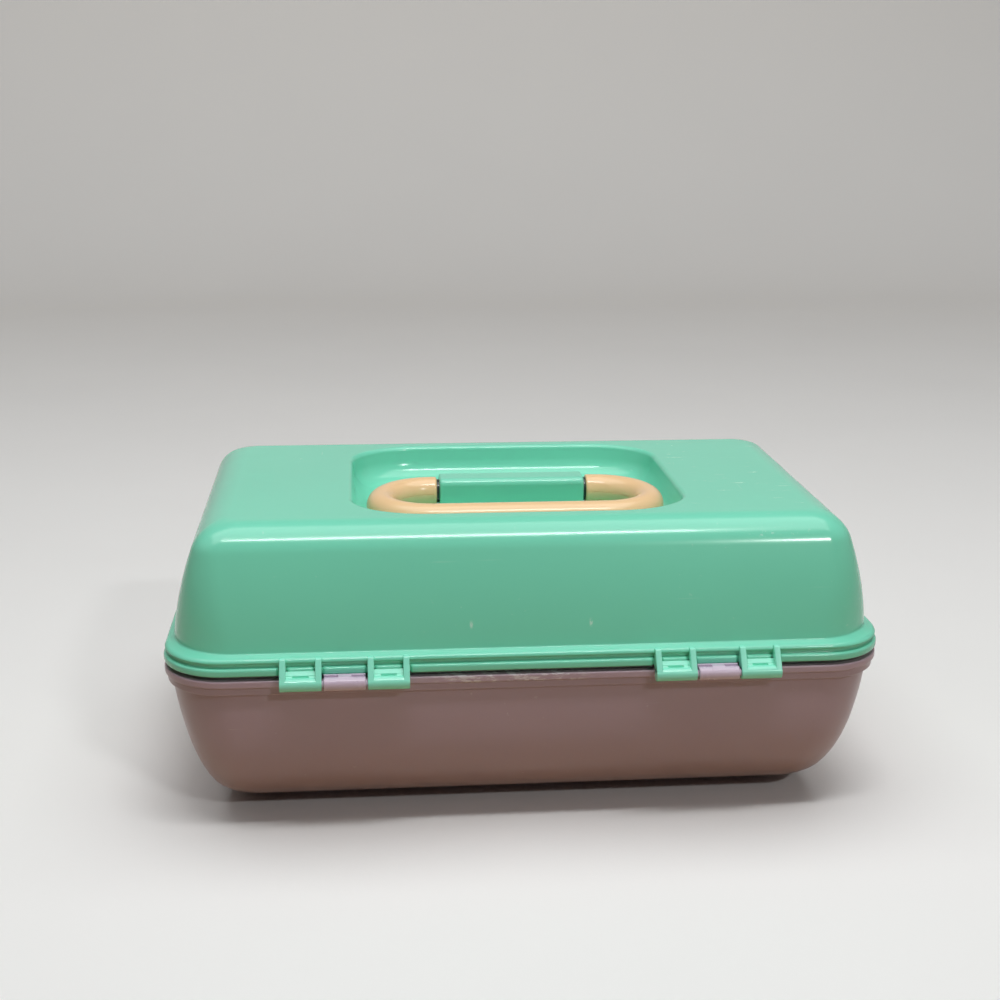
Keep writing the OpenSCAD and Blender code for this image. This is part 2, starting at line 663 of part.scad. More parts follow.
// Ear of the tray that reaches back to the lid's pivot
module tray_ear() {
    ear_y = hinge_y + arm_y;
    ear_z = hinge_z + arm_z;
    along_x(tray_half_x - tray_t, tray_half_x) {
        translate([ear_y, ear_z]) circle(arm_end_r);
        polygon([[tray_back - 2*tray_corner_r, tray_top - tray_t],
            [ear_y - arm_end_r/2, ear_z + arm_end_r*cos(30)],
            [ear_y + arm_end_r*cos(30), ear_z - arm_end_r/2],
            [tray_back - tray_corner_r, tray_z + 3*tray_t],
            [tray_back - 2*tray_corner_r, tray_z + 3*tray_t]]);
    }
}

// Tray: open box with a groove in each end wall for the row wall, and grooves for two dividers
module tray() color(cream) difference() {
    union() {
        difference() {
            translate([0, tray_mid_y, tray_z]) linear_extrude(tray_h)
                round_rect(2*tray_half_x, tray_width, tray_corner_r);
            translate([0, tray_mid_y, tray_z + tray_t]) linear_extrude(tray_h)
                round_rect(2*(tray_half_x - tray_t), tray_width - 2*tray_t, tray_corner_r - tray_t);
            translate([-groove_x, row_y - divider_clear, tray_z + tray_t])
                cube([2*groove_x, divider_t + 2*divider_clear, tray_h]);
            for (x = [-1, 1]) translate([x*divider_pitch/2 - divider_t/2 - divider_clear, groove_y,
                tray_z + tray_t])
                cube([divider_t + 2*divider_clear, front_row_w, tray_h]);
        }
        both_ends() tray_ear();
    }
    both_ends() {
        rod_x(tray_half_x - 2*tray_t, tray_half_x + eps, hinge_y + arm_y, hinge_z + arm_z,
            tray_pin_d/2 + run_clear);
        rod_x(tray_half_x - 2*tray_t, tray_half_x + eps, arm_pivot_y + arm_y, arm_pivot_z + arm_z,
            tray_pin_d/2 + hold_clear);
    }
}

// Loose wall between the two rows of the tray, with a groove for each divider
module tray_row_wall() color(cream) difference() {
    translate([divider_clear - groove_x, row_y, tray_z + tray_t])
        cube([2*(groove_x - divider_clear), divider_t, divider_h]);
    for (x = [-1, 1]) translate([x*divider_pitch/2 - divider_t/2 - divider_clear, row_y - eps,
        tray_z + tray_t - eps])
        cube([divider_t + 2*divider_clear, divider_t/2 + eps, divider_h + 2*eps]);
}

// Loose divider between the tray's front wall and the row wall
module tray_divider(side) color(cream)
    translate([side*divider_pitch/2 - divider_t/2, groove_y + divider_clear, tray_z + tray_t])
        cube([divider_t, row_y + divider_t/2 - groove_y - 2*divider_clear, divider_h]);

module tray_arm(side) color(lavender) mirror([side < 0 ? 1 : 0, 0, 0]) difference() {
    along_x(arm_in, arm_out) translate([arm_pivot_y, arm_pivot_z]) rotate(180 - arm_angle) {
        circle(arm_end_r);
        translate([arm_length, 0]) circle(arm_end_r);
        translate([0, -arm_w/2]) square([arm_length, arm_w]);
    }
    rod_x(arm_in - eps, arm_out + eps, arm_pivot_y, arm_pivot_z, tray_pin_d/2 + run_clear);
    rod_x(arm_in - eps, arm_out + eps, arm_pivot_y + arm_y, arm_pivot_z + arm_z,
        tray_pin_d/2 + arm_clear);
}

// Pin with a head at its inner end, from x0 to x1
module headed_pin(x0, x1, y, z) {
    rod_x(x0 - pin_head_t, x0, y, z, pin_head_d/2);
    rod_x(x0 - eps, x1, y, z, tray_pin_d/2);
}

module lid_pin(side) color(steel) mirror([side < 0 ? 1 : 0, 0, 0])
    headed_pin(tray_half_x - tray_t - head_clear, half_x - lid_step - wall_t - head_clear,
        hinge_y + arm_y, hinge_z + arm_z);

module base_pin(side) color(steel) mirror([side < 0 ? 1 : 0, 0, 0])
    headed_pin(arm_in - head_clear, tub_inner_x(arm_pivot_z) - wall_t/2 - head_clear,
        arm_pivot_y, arm_pivot_z);

module arm_pin(side) color(steel) mirror([side < 0 ? 1 : 0, 0, 0]) {
    headed_pin(tray_half_x - tray_t - head_clear, arm_out + head_clear, arm_pivot_y + arm_y,
        arm_pivot_z + arm_z);
    rod_x(arm_out + head_clear - eps, arm_out + head_clear + pin_head_t, arm_pivot_y + arm_y,
        arm_pivot_z + arm_z, pin_head_d/2);
}

// Frame under the recess floor, with a pocket for the mirror and seats for the screw heads
module mirror_frame() color(cream) difference() {
    translate([0, 0, ceiling_z - frame_t]) linear_extrude(frame_t)
        round_rect(mirror_length + 2*frame_w, mirror_width + 2*frame_w, frame_w + mirror_corner_r);
    translate([0, 0, ceiling_z - frame_t - eps]) linear_extrude(mirror_t + eps)
        round_rect(mirror_length + 2*mirror_clear, mirror_width + 2*mirror_clear, mirror_corner_r);
    for (x = [-1, 1]) translate([x*screw_pitch/2, 0, ceiling_z - screw_head_h - head_clear])
        cylinder(d = screw_head_d + 4*head_clear, h = screw_head_h + head_clear + eps);
}

module mirror_glass() color([0.75, 0.82, 0.85])
    translate([0, 0, ceiling_z - frame_t]) linear_extrude(mirror_t)
        round_rect(mirror_length, mirror_width, mirror_corner_r);

base_shell();
lid_shell();
handle_grip();
handle_bridge();
handle_rod();
bridge_screws();
latch();
latch_pin();
tray();
tray_row_wall();
tray_divider(-1);  // tray_divider_left
tray_divider(1);  // tray_divider_right
tray_arm(-1);  // tray_arm_left
tray_arm(1);  // tray_arm_right
lid_pin(-1);  // lid_pin_left
lid_pin(1);  // lid_pin_right
base_pin(-1);  // base_pin_left
base_pin(1);  // base_pin_right
arm_pin(-1);  // arm_pin_left
arm_pin(1);  // arm_pin_right
mirror_frame();
mirror_glass();
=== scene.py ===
import math

import bmesh
import bpy
import numpy as np
from mathutils import Matrix, Vector


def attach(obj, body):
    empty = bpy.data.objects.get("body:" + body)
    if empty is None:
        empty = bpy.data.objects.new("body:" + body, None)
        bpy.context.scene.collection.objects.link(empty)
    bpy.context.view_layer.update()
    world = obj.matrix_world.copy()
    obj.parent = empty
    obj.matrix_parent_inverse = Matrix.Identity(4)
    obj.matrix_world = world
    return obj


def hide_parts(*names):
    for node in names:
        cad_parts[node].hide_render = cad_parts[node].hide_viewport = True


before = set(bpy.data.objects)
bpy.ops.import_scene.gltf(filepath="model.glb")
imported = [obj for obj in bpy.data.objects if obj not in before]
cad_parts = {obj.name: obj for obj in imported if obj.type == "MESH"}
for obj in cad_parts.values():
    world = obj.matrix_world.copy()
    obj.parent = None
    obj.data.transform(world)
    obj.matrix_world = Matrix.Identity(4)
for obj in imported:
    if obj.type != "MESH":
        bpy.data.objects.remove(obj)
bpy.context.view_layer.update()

# ---------------------------------------------------------------------------
# Room: the case stands on a pale paper sweep that is floor and backdrop in one,
# under soft lamps, and the camera looks at its hinge side. Lamps, sweep and marks
# are in metres; the other lengths are in millimetres, and mm makes metres of them.
# ---------------------------------------------------------------------------
mm = 0.001
camera_yaw = math.radians(5.42)
camera_pitch = math.radians(15.56)
camera_roll = math.radians(0.43)
camera_place = Vector((73.8, 721.3, 331.4)) * mm
lens_length = 54.07
forward = Vector((-math.sin(camera_yaw) * math.cos(camera_pitch),
                  -math.cos(camera_yaw) * math.cos(camera_pitch), -math.sin(camera_pitch)))
level = Vector((-math.cos(camera_yaw), math.sin(camera_yaw), 0))
upward = level.cross(forward)
right = level * math.cos(camera_roll) + upward * math.sin(camera_roll)
top = upward * math.cos(camera_roll) - level * math.sin(camera_roll)
lens = bpy.data.cameras.new("camera")
lens.sensor_width = 36
lens.lens = lens_length
camera = bpy.data.objects.new("camera", lens)
camera.matrix_world = Matrix((right, top, -forward)).transposed().to_4x4()
camera.matrix_world.translation = camera_place
bpy.context.scene.collection.objects.link(camera)
bpy.context.scene.camera = camera
bpy.context.scene.view_settings.view_transform = "Standard"


class Wire:
    """A value in a material: used in a sum, it adds the Math node."""

    def __init__(self, paint, socket):
        self.paint = paint
        self.socket = socket

    def math(self, operation, *values):
        return self.paint.node("ShaderNodeMath", {"operation": operation}, dict(enumerate(values)))

    def __add__(self, other):
        return self.math("ADD", self, other)

    def __sub__(self, other):
        return self.math("SUBTRACT", self, other)

    def __rsub__(self, other):
        return self.math("SUBTRACT", other, self)

    def __mul__(self, other):
        return self.math("MULTIPLY", self, other)

    __radd__ = __add__
    __rmul__ = __mul__

    def part(self, axis):
        """X, Y or Z of a vector."""
        return self.paint.node("ShaderNodeSeparateXYZ", {}, {0: self}, out=axis)

    def least(self, other):
        return self.math("MINIMUM", self, other)

    def most(self, other):
        return self.math("MAXIMUM", self, other)

    def between(self, low, high):
        """0 at low, 1 at high and smooth in the middle."""
        return self.paint.node("ShaderNodeMapRange", {"interpolation_type": "SMOOTHSTEP"},
                               {0: self, 1: low, 2: high, 3: 0.0, 4: 1.0})

    def near(self, middle, width):
        """1 at the middle, falling to 0 a width away."""
        away = self - middle
        return 1 - away.most(0 - away).between(0.0, width)


class Paint:
    """A material, or the room's air, and the nodes of its shader."""

    def __init__(self, name, kind=bpy.data.materials, shader="Principled BSDF"):
        self.material = kind.new(name)
        self.material.use_nodes = True
        self.tree = self.material.node_tree
        self.shader = self.tree.nodes[shader]

    def node(self, kind, settings, sockets, out=0):
        """One node: its settings first, then the values or links of its sockets."""
        made = self.tree.nodes.new(kind)
        for key, value in settings.items():
            setattr(made, key, value)
        for key, value in sockets.items():
            if isinstance(value, Wire):
                self.tree.links.new(value.socket, made.inputs[key])
            else:
                made.inputs[key].default_value = value
        return Wire(self, made.outputs[out])

    def place(self, scale=(1, 1, 1), turn=(0, 0, 0)):
        """Where on the piece a point is, in metres, stretched and turned."""
        where = self.node("ShaderNodeTexCoord", {}, {}, out="Object")
        return self.node("ShaderNodeMapping", {}, {"Vector": where, "Scale": scale, "Rotation": turn})

    def noise(self, where, scale, detail=2.0, rough=0.5):
        return self.node("ShaderNodeTexNoise", {}, {"Vector": where, "Scale": scale, "Detail": detail,
                                                    "Roughness": rough})

    def mix(self, factor, one, other):
        """A colour between one and the other."""
        colours = [value if isinstance(value, Wire) else (*value, 1) for value in (one, other)]
        return self.node("ShaderNodeMix", {"data_type": "RGBA"}, {0: factor, 6: colours[0], 7: colours[1]},
                         out=2)

    def bump(self, height, distance, strength=1.0):
        """A normal that follows a height in metres times the distance."""
        return self.node("ShaderNodeBump", {}, {"Height": height, "Distance": distance,
                                                "Strength": strength})

    def surface(self, **sockets):
        for key, value in sockets.items():
            socket = self.shader.inputs[key.replace("_", " ")]
            if isinstance(value, Wire):
                self.tree.links.new(value.socket, socket)
            else:
                socket.default_value = value
        return self.material


def link(name, mesh, material):
    """A new object in the scene with one material."""
    made = bpy.data.objects.new(name, mesh)
    mesh.materials.clear()
    mesh.materials.append(material)
    bpy.context.scene.collection.objects.link(made)
    return made


def looked_at(paint):
    """1 on rays that show a surface, straight or in a reflection, and 0 on rays that light others."""
    straight, mirrored, through = (paint.node("ShaderNodeLightPath", {}, {}, out=kind)
                                   for kind in ("Is Camera Ray", "Is Glossy Ray", "Is Transmission Ray"))
    return straight.most(mirrored).most(through)


paper = Paint("backdrop_paper")
seen = looked_at(paper)
place = paper.place()
away = paper.node("ShaderNodeVectorMath", {"operation": "LENGTH"}, {0: place}, out="Value")
fibres = paper.noise(place, 5.0, 4.0)
bounced = paper.mix(fibres, (0.48, 0.34, 0.17), (0.52, 0.37, 0.19))
pale_face = paper.mix(fibres, (0.88, 0.88, 0.87), (0.92, 0.92, 0.91))
paper.surface(Base_Color=paper.mix(seen, bounced, pale_face),
              Emission_Color=paper.mix(away.between(0.6, 2.8) * seen, (0, 0, 0), (0.20, 0.20, 0.198)),
              Emission_Strength=1.0, Roughness=0.85, Specular_IOR_Level=0.1,
              Normal=paper.bump(paper.noise(paper.place(), 400.0), 0.0002, 0.3))

near_y, bend_y, bend, wall_top, half_width = 3.0, -1.6, 0.9, 3.2, 4.0
outline = [(near_y, 0.0)]
outline += [(bend_y - bend * math.sin(a), bend * (1 - math.cos(a)))
            for a in np.radians(np.linspace(0, 90, 25))]
outline += [(bend_y - bend, wall_top)]
sweep = bpy.data.meshes.new("backdrop")
sweep.from_pydata([(x, y, z) for y, z in outline for x in (-half_width, half_width)], [],
                  [(2 * i, 2 * i + 1, 2 * i + 3, 2 * i + 2) for i in range(len(outline) - 1)])
sweep.shade_smooth()
link("backdrop", sweep, paper.material)


def lamp(name, at, size, power, tint=(1, 1, 1)):
    """A rectangular soft lamp that faces the case."""
    light = bpy.data.lights.new(name, "AREA")
    light.shape = "RECTANGLE"
    light.size, light.size_y = size
    light.energy = power
    light.color = tint
    made = bpy.data.objects.new(name, light)
    made.location = at
    made.rotation_euler = (Vector((0, 0, 0.1)) - Vector(at)).to_track_quat("-Z", "Y").to_euler()
    bpy.context.scene.collection.objects.link(made)


lamp("tube_lamp", (-0.06, 0.52, 1.45), (0.66, 0.11), 5.6)
lamp("ceiling_glow", (0.0, 0.0, 2.0), (2.4, 1.7), 28.0)
lamp("left_fill", (1.3, 0.2, 1.4), (1.3, 1.1), 1.5)
lamp("right_fill", (-1.6, 0.3, 0.9), (1.3, 1.1), 0.5, (0.90, 0.97, 1.0))
lamp("desk_lamp", (-1.00, 2.10, 1.70), (0.30, 0.12), 11.0)
air = Paint("room", bpy.data.worlds, "Background")
bpy.context.scene.world = air.surface(Color=(1.0, 1.0, 1.0, 1), Strength=looked_at(air) * 0.4 + 0.02)

# ---------------------------------------------------------------------------
# Tub: one injection moulding in lavender plastic, with a stepped band and a lip
# round its rim, a tongue that finds the lid, and feet moulded underneath. The
# catch ledge at the front and the bosses of the tray arms are moulded with it.
# ---------------------------------------------------------------------------
half_length = 165.0
half_depth = 104.3
corner_radius = 33.6
flange_half_length = 164.3
flange_corner = 29.0
wall = 2.4
foot_height = 1.2
tub_floor_z = 1.6
tub_height = 77.2
lip_height = 3.5
band_height = 3.8
band_step = 1.2
lip_inset = 0.2
tub_step = 3.2
tongue_height = 4.6
tongue_thickness = 1.6
rim_z = foot_height + tub_height
tongue_z = rim_z + tongue_height
tub_root_z = rim_z - lip_height - band_height
tub_inset = lip_inset + tub_step
tongue_inset = tub_inset + wall - tongue_thickness
tub_floor_corner = 16.0
tub_end_lean = (9.0, 20.5)
tub_side_lean = (2.5, 12.0)
tub_end_round = 23.0
tub_side_round = 55.0
foot_x, foot_y, foot_radius = 88.0, 35.0, 9.0
latch_pivot_z = 88.0
ledge_z = latch_pivot_z - 20.3
ledge_half = 25.0
ledge_y = half_depth + 2.9
arm_pivot = (4.43, 50.99)
tub_boss = (149.0, 156.0)
boss_radius = 4.0
edge = 0.8
crease = math.radians(35)
corner_points = 22
wall_rows = 12
round_rows = 18
turn_rows = 6


def plan_ring(half_x, half_y, round_x, round_y, z):
    """Closed row of points round a rectangle with round corners."""
    ring = []
    for quarter, (side_x, side_y) in enumerate(((1, 1), (-1, 1), (-1, -1), (1, -1))):
        for i in range(corner_points + 1):
            turn = math.radians(90 * (quarter + i / corner_points))
            ring.append((side_x * (half_x - round_x) + round_x * math.cos(turn),
                         side_y * (half_y - round_y) + round_y * math.sin(turn), z))
    return ring


def flange_ring(inset, z):
    return plan_ring(flange_half_length - inset, half_depth - inset, flange_corner - inset,
                     flange_corner - inset, z)


def turn_up(start, end):
    """Quarter turn of a section, from sideways to upright."""
    (a, b), (c, d) = start, end
    return [(a + (c - a) * math.sin(t), b + (d - b) * (1 - math.cos(t)))
            for t in np.radians(np.linspace(0, 90, turn_rows))]


def turn_in(start, end):
    """Quarter turn of a section, from upright to sideways."""
    (a, b), (c, d) = start, end
    return [(a + (c - a) * (1 - math.cos(t)), b + (d - b) * math.sin(t))
            for t in np.radians(np.linspace(0, 90, turn_rows))]


def wall_inset(h, full, lean, radius):
    """How far a moulded wall has leaned and rounded in at height h from its root."""
    low, high = (math.radians(angle) for angle in lean)
    straight = full - radius * (1 - math.sin(high))
    reach = min(h, straight)
    inset = reach * math.tan(low) + (math.tan(high) - math.tan(low)) * reach * reach / (2 * straight)
    if h > straight:
        rise = 1 - (full - h) / radius
        inset += radius * (math.cos(high) - math.sqrt(max(0.0, 1 - rise * rise)))
    return inset


def wall_heights(full, lean, radius):
    high = math.radians(lean[1])
    straight = full - radius * (1 - math.sin(high))
    return ([straight * i / wall_rows for i in range(wall_rows)]
            + [full - radius * (1 - math.sin(turn)) for turn in np.linspace(high, math.pi / 2, round_rows)])


def tub_wall(t):
    """Rows of the tub's wall from its root down, t inside the outer face."""
    full = tub_root_z - tub_floor_z - t
    rows = []
    for h in wall_heights(full, tub_end_lean, tub_end_round - t):
        in_x = wall_inset(h, full, tub_end_lean, tub_end_round - t)
        in_y = wall_inset(h, full, tub_side_lean, tub_side_round - t)
        root = corner_radius - tub_inset
        r = root - t + (tub_floor_corner - root) * h / full
        rows.append(plan_ring(half_length - tub_inset - t - in_x, half_depth - tub_inset - t - in_y, r, r,
                              tub_root_z - h))
    return rows


def add_skin(form, rings):
    """Adds faces through a row of rings to a form in mesh code, closed at both ends."""
    rows = [[form.verts.new(Vector(p) * mm) for p in ring] for ring in rings]
    for row, following in zip(rows, rows[1:]):
        for i in range(len(row)):
            j = (i + 1) % len(row)
            form.faces.new((row[i], row[j], following[j], following[i]))
    form.faces.new(rows[0][::-1])
    form.faces.new(rows[-1])


def add_bar(form, section, x0, x1, edge_round, steps=2):
    """Adds a bar along X with the given section in (Y, Z) and rounded edges."""
    bar = bmesh.new()
    ends = [[bar.verts.new(Vector((x, y, z)) * mm) for y, z in section] for x in (x0, x1)]
    for i in range(len(section)):
        j = (i + 1) % len(section)
        bar.faces.new((ends[0][i], ends[0][j], ends[1][j], ends[1][i]))
    bar.faces.new(ends[0][::-1])
    bar.faces.new(ends[1])
    bmesh.ops.recalc_face_normals(bar, faces=bar.faces)
    if edge_round:
        sharp = [e for e in bar.edges if e.calc_face_angle(0) > math.radians(20)]
        bmesh.ops.bevel(bar, geom=sharp, offset=edge_round * mm, segments=steps, profile=0.5,
                        affect="EDGES", clamp_overlap=True)
    scratch = bpy.data.meshes.new("bar")
    bar.to_mesh(scratch)
    bar.free()
    form.from_mesh(scratch)
    bpy.data.meshes.remove(scratch)


def around(points):
    """Angles of a number of points round a circle."""
    return np.radians(np.arange(points) * 360 / points)


def add_turned(form, profile, y, z, points=48):
    """Adds a body turned about a line along X from a row of (x, radius) points."""
    add_skin(form, [[(x, y + r * math.cos(t), z + r * math.sin(t)) for t in around(points)]
                    for x, r in profile])


def rounded_edge(edge_round):
    """Steps over a rounded edge: how far along from the end, and how far in from the full radius."""
    return [(edge_round * (1 - math.cos(t)), edge_round * (1 - math.sin(t)))
            for t in np.radians((0, 30, 60, 90))]


def add_rod(form, x0, x1, y, z, radius, edge_round=0.3, points=48):
    """Adds a round bar along X with rounded ends."""
    profile = [(x0 + along, radius - inward) for along, inward in rounded_edge(edge_round)]
    profile += [(x1 - along, radius - inward) for along, inward in rounded_edge(edge_round)[::-1]]
    add_turned(form, profile, y, z, points)


def add_disc(form, x, y, z0, z1, radius, edge_round, points=64):
    """Adds an upright round pad whose lower edge is rounded."""
    profile = [(z0 + along, radius - inward) for along, inward in rounded_edge(edge_round)] + [(z1, radius)]
    add_skin(form, [[(x + r * math.cos(t), y + r * math.sin(t), z) for t in around(points)]
                    for z, r in profile])


def shown(name, form, material, body, slot, *nodes):
    """Makes the finished piece: smooth faces, a material, its body and the nodes it stands for."""
    bmesh.ops.recalc_face_normals(form, faces=form.faces)
    mesh = bpy.data.meshes.new(name)
    form.to_mesh(mesh)
    form.free()
    mesh.shade_smooth()
    mesh.set_sharp_from_angle(angle=crease)
    piece = link(name, mesh, material)
    flats = piece.modifiers.new("flat_faces", "WEIGHTED_NORMAL")
    flats.keep_sharp = True
    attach(piece, body)
    if nodes:
        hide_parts(*nodes)


def worn(paint, turn):
    """Hairline scratches and rubbed spots of a handled moulding, each from 0 to 1."""
    patch = paint.noise(paint.place(turn=turn), 24.0, 3.0).between(0.50, 0.68)
    along = paint.noise(paint.place((9, 420, 420), turn), 1.0, 2.0, 0.6).between(0.70, 0.73)
    across = paint.noise(paint.place((390, 14, 390), turn), 1.0, 2.0, 0.6).between(0.71, 0.74)
    spots = paint.noise(paint.place(turn=turn), 320.0, 3.0, 0.7).between(0.70, 0.76)
    return (along + across).least(1.0) * patch, spots * patch


def moulded(name, colour, rough, turn, wear=1.0, coat=0.0, marks=None, painted_shade=None):
    """Glossy moulded plastic: cloudy colour, faint orange peel, scratches, dull handling spots."""
    paint = Paint(name)
    scratches, spots = worn(paint, turn)
    rubbed = ((scratches * 0.30 + spots * 0.5) * wear).least(1.0)
    if marks:
        rubbed = rubbed.most(marks(paint))
    cloud = paint.noise(paint.place(turn=turn), 11.0, 4.0)
    deep = tuple(c * 0.95 for c in colour)
    light = tuple(min(1.0, c * 1.04) for c in colour)
    pale = tuple(c + (0.92 - c) * 0.55 for c in colour)
    body = paint.mix(rubbed, paint.mix(cloud, deep, light), pale)
    # Painted shade: where the given mask is 1, the colour goes near black, standing in for shade in narrow
    # gaps.
    if painted_shade:
        body = paint.mix(painted_shade(paint), body, (0.012, 0.035, 0.027))
    hazy = paint.noise(paint.place(turn=turn), 55.0, 5.0, 0.65).between(0.48, 0.75)
    peel = paint.noise(paint.place(turn=turn), 700.0, 2.0)
    return paint.surface(Base_Color=body, Roughness=hazy * (0.07 * wear) + rubbed * 0.3 + rough,
                         Normal=paint.bump(peel * 0.3 - rubbed, 0.00005, 0.5), Coat_Weight=coat,
                         Coat_Roughness=0.08, IOR=1.48)


def rim_scrapes(paint):
    """Whitish scrapes along the middle of the rim's hinge side, where the case was pried open."""
    where = paint.place()
    height = where.part("Z")
    on_lip = height.between(0.0738, 0.0752) * (1 - height.between(0.0786, 0.0792))
    along = where.part("X")
    run = along.between(-0.030, -0.012) * (1 - along.between(0.030, 0.052))
    back = where.part("Y").between(0.0985, 0.1005)
    chips = paint.noise(paint.place((160, 160, 700)), 1.0, 4.0, 0.7).between(0.50, 0.60)
    return on_lip * run * back * chips * 0.8


lavender_colour = (0.43, 0.308, 0.37)
lavender = moulded("lavender_plastic", lavender_colour, 0.30, (0.1, 0.2, 0.3), marks=rim_scrapes)

# A point of the rim's section is how far in from the flange's edge it is, and its height.
tub = bmesh.new()
band_inset, band_top = lip_inset + band_step, tub_root_z + band_height
rim = turn_up((tub_inset, tub_root_z), (band_inset, tub_root_z + edge))
rim += turn_up((band_inset, band_top), (lip_inset, band_top + edge))
rim += turn_in((lip_inset, rim_z - edge), (lip_inset + edge, rim_z))
rim += [(tongue_inset, rim_z)]
rim += turn_in((tongue_inset, tongue_z - edge / 2), (tongue_inset + edge / 2, tongue_z))
rim += [(tongue_inset + tongue_thickness, tongue_z)]
add_skin(tub, tub_wall(0)[::-1] + [flange_ring(*point) for point in rim] + tub_wall(wall))
for x in (-foot_x, foot_x):
    for y in (-foot_y, foot_y):
        add_disc(tub, x, y, 0, tub_floor_z + wall / 2, foot_radius, 0.5)
ledge_root = half_depth - tongue_inset
ledge = [(ledge_root, ledge_z + 1.5), (ledge_y, ledge_z), (ledge_y, ledge_z + 2.2),
         (ledge_y - 0.8, ledge_z + 3), (ledge_root, ledge_z + 6)]
add_bar(tub, [(-y, z) for y, z in ledge], -ledge_half, ledge_half, 0.3)
for side in (-1, 1):
    add_rod(tub, *sorted(side * x for x in tub_boss), *arm_pivot, boss_radius, 0.4)
shown("tub", tub, lavender, "base", "lavender_plastic", "base_shell")

# ---------------------------------------------------------------------------
# Hinge knuckles: moulded with the tub at two places on its rear lip. Each is a
# barrel on a web, with a thin strip behind it that a tab joins to the barrel, and
# a peg at each side that snaps into a lug of the lid.
# ---------------------------------------------------------------------------
hinge_x = 83.0
hinge_y = 108.3
hinge_z = 78.0
barrel_radius = 3.0
knuckle_half = 9.1
knuckle_gap = 0.9
peg_radius = 1.6
peg_length = 4.0
tab_half = 2.9
tab_y = hinge_y + 1.95
web_y = 102.0
strip_foot = 76.0
strip_y = half_depth + 0.35
strip_thickness = 1.3
strip_top = hinge_z + 3.3

knuckles = bmesh.new()
peg_reach = knuckle_half + knuckle_gap + peg_length - 0.1
for middle in (-hinge_x, hinge_x):
    ends = middle - knuckle_half, middle + knuckle_half
    add_rod(knuckles, *ends, hinge_y, hinge_z, barrel_radius, 0.35, 64)
    add_rod(knuckles, middle - peg_reach, middle + peg_reach, hinge_y, hinge_z, peg_radius, 0.4)
    add_bar(knuckles, [(web_y, rim_z - lip_height), (hinge_y, hinge_z - barrel_radius + 0.05),
                       (hinge_y, rim_z - edge), (web_y, rim_z - edge)], *ends, 0.3)
    add_bar(knuckles, [(strip_y, strip_foot), (strip_y + strip_thickness, strip_foot),
                       (strip_y + strip_thickness, strip_top), (strip_y, strip_top)], *ends, 0.22, 3)
    add_bar(knuckles, [(strip_y, hinge_z), (strip_y, strip_top - 0.02), (hinge_y, strip_top - 0.02),
                       (tab_y, hinge_z + 2.3), (hinge_y, hinge_z)],
            middle - tab_half, middle + tab_half, 0.25, 3)
# Painted light: the knuckles are the tub's own plastic, given a lighter copy of its lavender so that they
# read as brightly lit.
knuckle_lit_lavender_colour = (0.60, 0.49, 0.62)
knuckle_lit_lavender = moulded("knuckle_lit_lavender_plastic", knuckle_lit_lavender_colour, 0.26, (0.7, 0.4, 0.2),
                           wear=0.7)
shown("tub_knuckles", knuckles, knuckle_lit_lavender, "base", "lavender_plastic")

# ---------------------------------------------------------------------------
# Lid: one deep moulding in mint plastic. Two beads with a groove between them
# ring its flange, the walls lean in and round over to the flat top, and the top
# drops into a recess for the handle. Inside is a seat for the tub's tongue.
# ---------------------------------------------------------------------------
seam_gap = 2.0
flange_z = rim_z + seam_gap
groove_z = flange_z + 4.4
high_bead_z = groove_z + 2.2
cove_z = high_bead_z + 2.9
lid_root_z = cove_z + 1.7
top_z = flange_z + 61.8
bead_out = 1.2
lid_step = 5.4
lid_end_lean = (6.9, 19.3)
lid_side_lean = (11.3, 22.9)
lid_end_round = 17.7
lid_side_round = 18.0
lid_top_corner = 9.0
seat_z = tongue_z + 0.3
skirt_inset = tongue_inset - 0.4
seat_inset = tongue_inset + tongue_thickness + 0.6
lid_foot_z = 90.1
lid_foot_inset = 5.15
shoulder_inset = 0.7
recess_half_x = 81.0
recess_half_y = 66.197
recess_depth = 15.5
recess_corner = (38.0, 30.0)
recess_rim = 2.5
recess_lean = math.radians(12)
recess_fillet = 11.0
lug_half = 9.2
rail_width = 2.8
lug_middles = [side * hinge_x + turn * (knuckle_half + knuckle_gap + lug_half)
               for side in (-1, 1) for turn in (-1, 1)]
rail_edges = [middle + edge_x for middle in lug_middles
              for edge_x in (-lug_half, rail_width - lug_half, lug_half - rail_width, lug_half)]
bead_start, bead_end_round = 0.45, 1.3
nick_places = ((0.0269, 0.0997, 0.0024), (-0.0267, 0.0995, 0.0026))
nick_width = 0.0011


def bead_share(x):
    """How much of the lower bead stands at x: it ends rounded beside each hinge rail."""
    share = 1.0
    for middle in lug_middles:
        away = abs(abs(x - middle) - (lug_half - rail_width / 2)) - rail_width / 2
        reach = min(1.0, max(0.0, (away - bead_start) / bead_end_round))
        share = min(share, math.sqrt(1 - (1 - reach) ** 2))
    return share


rail_stations = sorted({round(rail_edge + side * step, 3) for rail_edge in rail_edges for side in (-1, 1)
                        for step in (0.3, 0.45, 0.53, 0.68, 0.95, 1.3, 1.75)}, reverse=True)


def with_stations(ring, beaded=False):
    """Adds points along the hinge side of a plan ring; a beaded ring steps back at the rails."""
    reach, y, z = ring[corner_points]
    share = min(1.0, reach / (half_length - corner_radius))
    added = [(x * share, y - (1 - bead_share(x)) * bead_out * beaded, z) for x in rail_stations]
    return ring[:corner_points + 1] + added + ring[corner_points + 1:]


def lid_wall(t):
    """Rows of the lid's wall from its root up, t inside the outer face."""
    full = top_z - lid_root_z - t
    rows = []
    for h in wall_heights(full, lid_end_lean, lid_end_round - t):
        in_x = wall_inset(h, full, lid_end_lean, lid_end_round - t)
        in_y = wall_inset(h, full, lid_side_lean, lid_side_round - t)
        root = corner_radius - lid_step
        r = root - t + (lid_top_corner - root) * h / full
        rows.append(with_stations(plan_ring(half_length - lid_step - t - in_x,
                                            half_depth - lid_step - t - in_y, r, r, lid_root_z + h)))
    return rows


